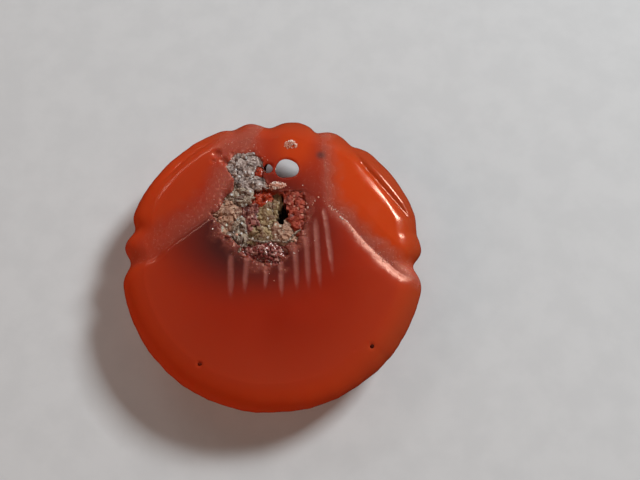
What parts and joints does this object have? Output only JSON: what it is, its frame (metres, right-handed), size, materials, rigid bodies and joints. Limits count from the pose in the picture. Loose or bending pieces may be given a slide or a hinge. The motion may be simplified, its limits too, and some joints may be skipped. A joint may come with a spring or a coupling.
{
  "type": "sew on button",
  "caption": "Round domed stone button with carved valleys, rim notches, score marks, two sewing holes and a crusted natural pocket in its face.",
  "frame": {"origin": "middle of the flat back, on the surface the button rests on", "axes": "+Z out of the carved face, +Y from the middle towards the two sewing holes, +X to the right when looking at the face with the holes at the top"},
  "size_m": [0.0251, 0.0253, 0.0058],
  "materials": {
    "carnelian": "polished translucent orange-red carnelian, frosted and pinkish where it is ground",
    "grey_sinter": "matt porous grey mineral crust",
    "beige_sinter": "matt crumbly beige crust",
    "red_chalcedony": "glossy translucent red nodule",
    "tan_matrix": "matt grainy tan rock",
    "green_matrix": "matt mottled olive and pale green rock",
    "jasper": "semi-gloss dark red-brown jasper",
    "rust": "rough rust-red broken chalcedony",
    "manganese": "dull near-black manganese oxide",
    "drusy_quartz": "glossy sparkling druse of small pinkish quartz crystals"
  },
  "bodies": {
    "root": {"carnelian_body": "carnelian", "sinter_crust": "grey_sinter", "sinter_tongue": "grey_sinter", "beige_crust": "beige_sinter", "pale_lump": "beige_sinter", "red_nodule_upper": "red_chalcedony", "red_nodule_lower": "red_chalcedony", "tan_lump": "tan_matrix", "buff_lump": "tan_matrix", "pale_green_lump": "green_matrix", "olive_lump": "green_matrix", "olive_ledge": "green_matrix", "jasper_matrix": "jasper", "rust_matrix": "rust", "manganese_fill": "manganese", "drusy_bridge": "drusy_quartz", "drusy_lower": "drusy_quartz", "quartz_window": "drusy_quartz", "pit_grain_left": "manganese", "pit_grain_right": "manganese"}
  },
  "joints": []
}
